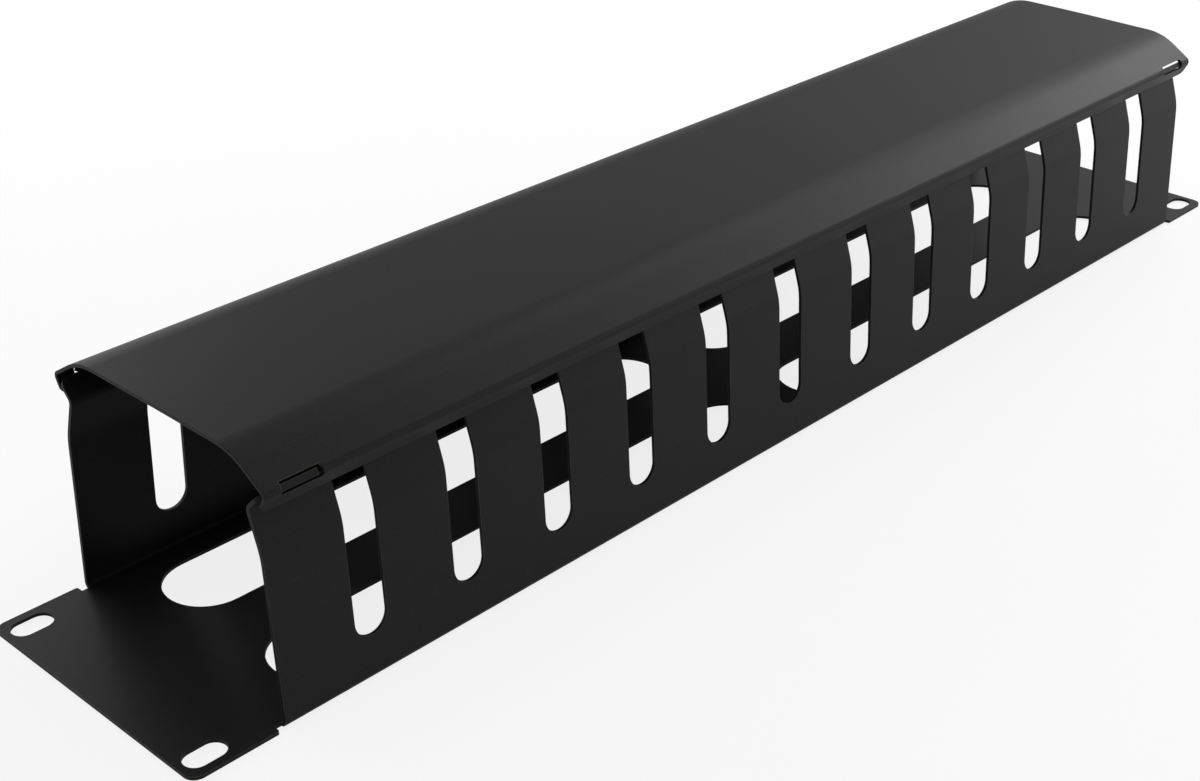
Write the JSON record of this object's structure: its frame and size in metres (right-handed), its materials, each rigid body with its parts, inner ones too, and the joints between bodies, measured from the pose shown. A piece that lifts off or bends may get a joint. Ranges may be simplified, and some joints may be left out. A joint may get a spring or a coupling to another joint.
{
  "type": "horizontal cable manager",
  "caption": "Folded steel channel with slotted finger walls, mounting ears, oblong base holes and a cover that clips over the fingers, for routing cables across a rack.",
  "frame": {"origin": "centre of the base's underside, which lies against the rack rails when the part is mounted", "axes": "+X along the rack's width, +Y across the panel's height, +Z out from the rack towards the cover"},
  "size_m": [0.4812, 0.0886, 0.074],
  "materials": {
    "powder_coat": "fine-textured matt black powder coat"
  },
  "bodies": {
    "channel": {"cable_channel": "powder_coat"},
    "cover": {"cover": "powder_coat"}
  },
  "joints": [
    {"name": "cover_lift", "type": "slide", "parent": "channel", "child": "cover", "axis": [0, 0, 1], "range_m": [0, 0.06]}
  ]
}
